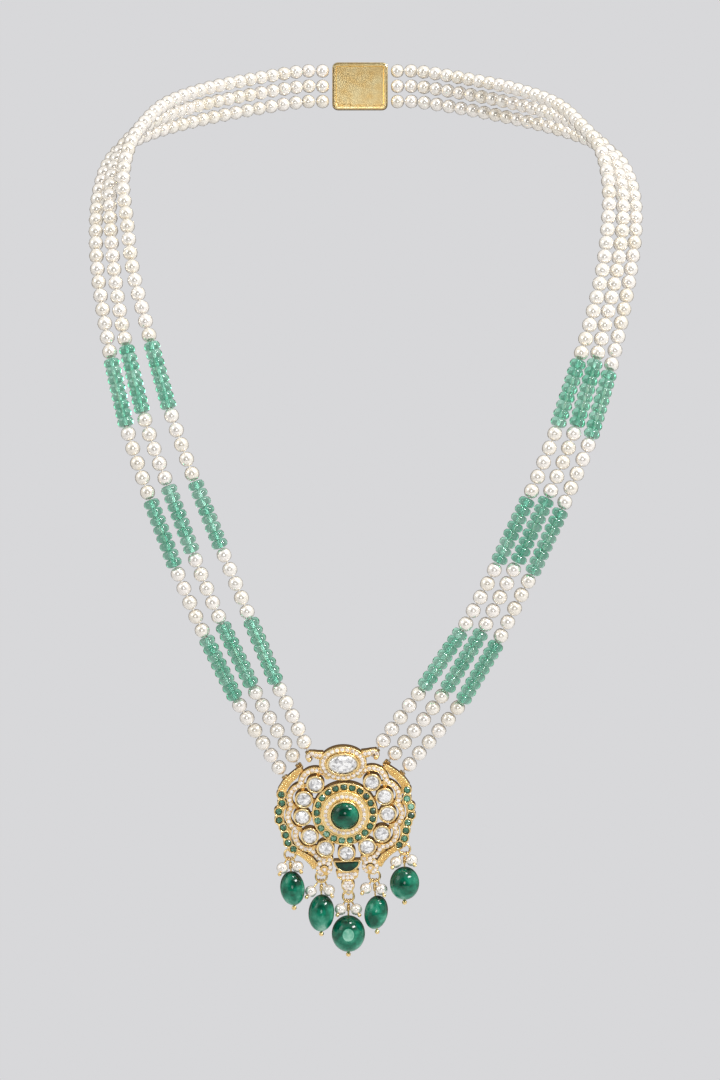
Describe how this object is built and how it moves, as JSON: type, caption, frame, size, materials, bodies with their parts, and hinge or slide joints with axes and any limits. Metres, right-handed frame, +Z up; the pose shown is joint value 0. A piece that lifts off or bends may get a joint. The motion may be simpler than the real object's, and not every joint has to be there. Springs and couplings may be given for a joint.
{
  "type": "long pearl necklace with pendant",
  "caption": "Long pearl necklace, as worn: strands broken by green rondelles hold an openwork gold pendant with clear and green stones and green bead drops.",
  "frame": {"origin": "middle of the clasp's inner face, where it rests on the nape of the neck", "axes": "+X to the viewer's right, +Y away from the viewer towards the back of the neck, +Z up along the length of the necklace"},
  "size_m": [0.1483, 0.1087, 0.2493],
  "materials": {
    "pearl": "pearl lustre",
    "mint_stone": "polished, translucent mint green",
    "green_stone": "polished, deep green",
    "clear_stone": "polished, clear",
    "gold": "polished yellow gold",
    "thread": "plain silk"
  },
  "bodies": {
    "root": {"pearls_left_inner": "pearl", "pearls_left_middle": "pearl", "pearls_left_outer": "pearl", "pearls_right_inner": "pearl", "pearls_right_middle": "pearl", "pearls_right_outer": "pearl", "rondelles_left_inner": "mint_stone", "rondelles_left_middle": "mint_stone", "rondelles_left_outer": "mint_stone", "rondelles_right_inner": "mint_stone", "rondelles_right_middle": "mint_stone", "rondelles_right_outer": "mint_stone", "thread_left_inner": "thread", "thread_left_middle": "thread", "thread_left_outer": "thread", "thread_right_inner": "thread", "thread_right_middle": "thread", "thread_right_outer": "thread", "nape_strands_left": "pearl", "nape_strands_right": "pearl", "clasp": "gold", "pendant_frame": "gold", "cabochon": "green_stone", "head_stone": "clear_stone", "crescent_stone": "green_stone", "melee_ring": "green_stone", "melee_columns": "green_stone", "polki_left_1": "clear_stone", "polki_left_2": "clear_stone", "polki_left_3": "clear_stone", "polki_left_4": "clear_stone", "polki_left_5": "clear_stone", "polki_bottom": "clear_stone", "polki_right_5": "clear_stone", "polki_right_4": "clear_stone", "polki_right_3": "clear_stone", "polki_right_2": "clear_stone", "polki_right_1": "clear_stone", "jump_ring_far_left": "gold", "jump_ring_near_left": "gold", "jump_ring_centre": "gold", "jump_ring_near_right": "gold", "jump_ring_far_right": "gold", "green_drop_far_left": "green_stone", "green_drop_near_left": "green_stone", "green_drop_centre": "green_stone", "green_drop_near_right": "green_stone", "green_drop_far_right": "green_stone", "head_pins_far_left": "gold", "head_pins_near_left": "gold", "head_pins_centre": "gold", "head_pins_near_right": "gold", "head_pins_far_right": "gold", "drop_pearls_far_left": "pearl", "drop_pearls_near_left": "pearl", "drop_pearls_centre": "pearl", "drop_pearls_near_right": "pearl", "drop_pearls_far_right": "pearl"}
  },
  "joints": []
}
